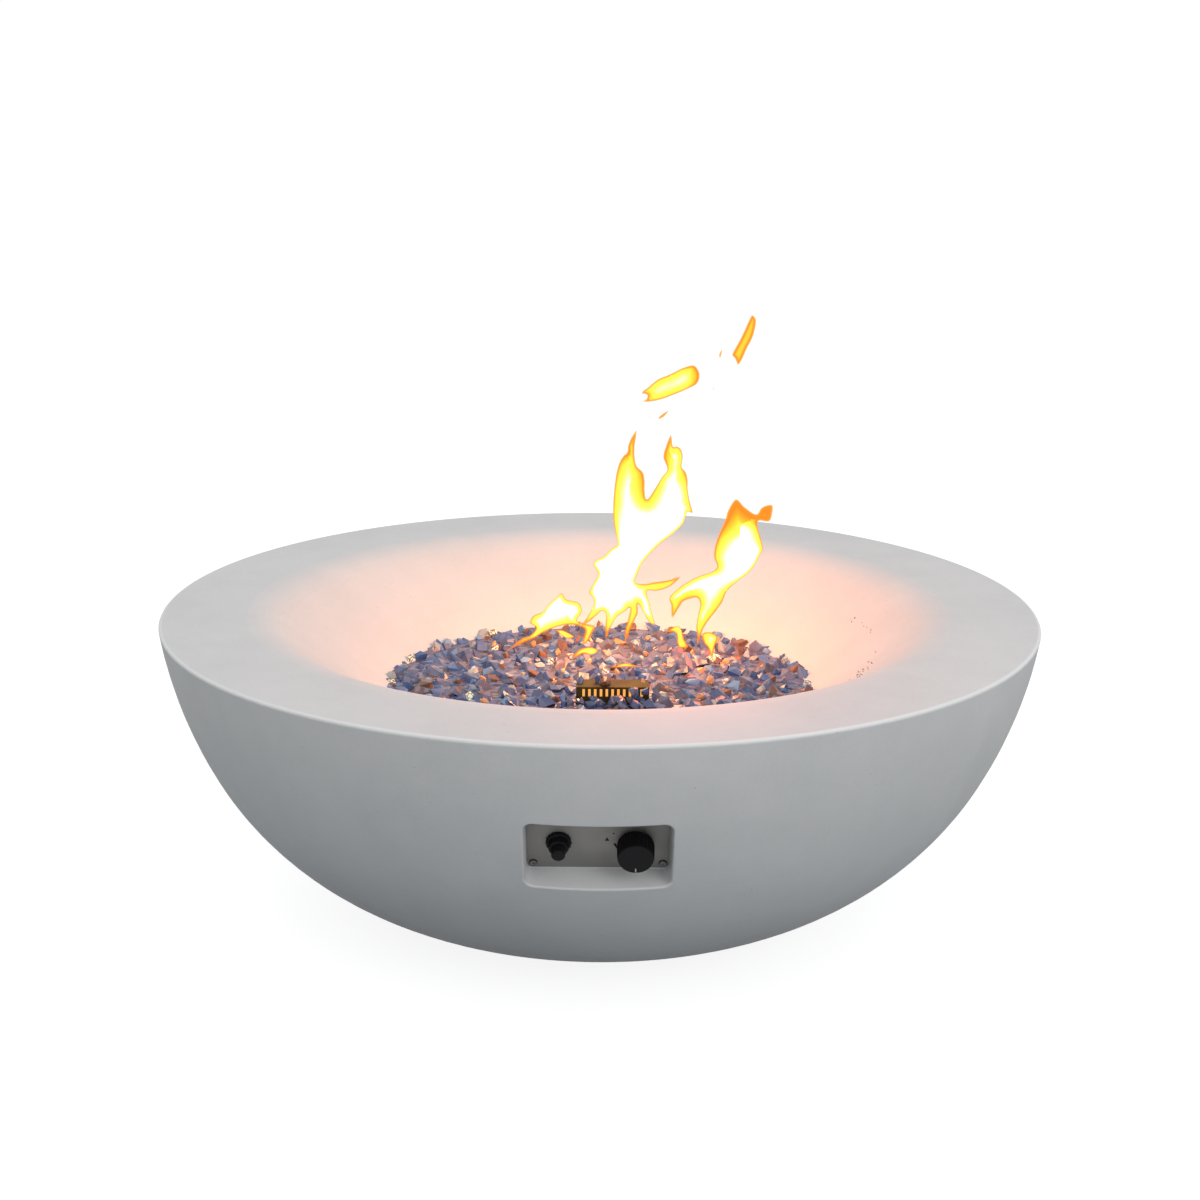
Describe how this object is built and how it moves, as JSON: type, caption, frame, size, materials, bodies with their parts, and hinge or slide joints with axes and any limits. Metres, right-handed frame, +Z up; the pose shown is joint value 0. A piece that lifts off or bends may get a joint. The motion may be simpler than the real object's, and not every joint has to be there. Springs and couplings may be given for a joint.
{
  "type": "gas fire bowl",
  "caption": "Round concrete gas fire bowl with fire glass over a ring burner, a recessed control plate, a push-and-turn valve knob and a push-button igniter.",
  "frame": {"origin": "on the ground, under the middle of the bowl", "axes": "+Z up; -Y towards the person at the controls; +X to that person's right"},
  "size_m": [1.0658, 1.0658, 0.368],
  "materials": {
    "concrete": "smooth glass fibre concrete, pale grey, matt",
    "rubber": "matt",
    "stainless": "brushed",
    "heat_tinted_steel": "straw and brown heat tint",
    "zinc_plated_steel": "zinc plated",
    "brass": "turned",
    "cast_aluminium": "die cast",
    "pipe": "drawn",
    "copper": "drawn copper",
    "spring_steel": "bright wire",
    "black_plastic": "satin black",
    "white_paint": "white line",
    "battery_wrap": "printed wrap, left plain",
    "ceramic": "unglazed alumina",
    "cable_jacket": "silicone jacket",
    "fire_glass": "tempered chips, slate blue with copper and clear"
  },
  "bodies": {
    "bowl": {"bowl_shell": "concrete", "foot_pads": "rubber", "control_plate": "stainless", "plate_screws": "stainless", "burner_pan": "stainless", "ring_burner": "stainless", "burner_feet": "stainless", "bracket_screws": "stainless", "pilot_hood": "heat_tinted_steel", "pilot_bracket": "heat_tinted_steel", "flame_sensor": "heat_tinted_steel", "electrode_rod": "heat_tinted_steel", "burner_locknuts": "zinc_plated_steel", "air_mixer": "zinc_plated_steel", "inlet_bracket": "zinc_plated_steel", "bracket_anchors": "zinc_plated_steel", "magnet_unit": "zinc_plated_steel", "valve_nut": "zinc_plated_steel", "gas_jet": "brass", "burner_line_nut": "brass", "valve_outlet_nut": "brass", "valve_inlet_nut": "brass", "inlet_fitting": "brass", "inlet_nut": "brass", "valve_body": "cast_aluminium", "burner_line": "pipe", "inlet_pipe": "pipe", "sensor_lead": "copper", "valve_spring": "spring_steel", "igniter_spring": "spring_steel", "igniter_body": "black_plastic", "igniter_nut": "black_plastic", "igniter_cap": "black_plastic", "igniter_battery": "battery_wrap", "electrode_insulator": "ceramic", "spark_lead": "cable_jacket", "fire_glass": "fire_glass"},
    "valve_rotor": {"valve_plug": "brass"},
    "knob": {"valve_spindle": "brass", "control_knob": "black_plastic", "knob_pointer": "white_paint"},
    "igniter_push_button": {"igniter_button": "black_plastic"}
  },
  "joints": [
    {"name": "knob_turn", "type": "hinge", "parent": "bowl", "child": "valve_rotor", "pos_m": [0.0384, -0.45966, 0.24027], "axis": [0, -0.9397, -0.342], "range_deg": [-180, 0]},
    {"name": "knob_push", "type": "slide", "parent": "valve_rotor", "child": "knob", "axis": [0, -0.9397, -0.342], "range_m": [-0.004, 0], "stiffness_N_per_m": 900, "springref_m": 0.003, "deforming": ["valve_spring"]},
    {"name": "igniter_push", "type": "slide", "parent": "bowl", "child": "igniter_push_button", "axis": [0, -0.9397, -0.342], "range_m": [-0.005, 0], "stiffness_N_per_m": 500, "springref_m": 0.003, "deforming": ["igniter_spring"]}
  ]
}
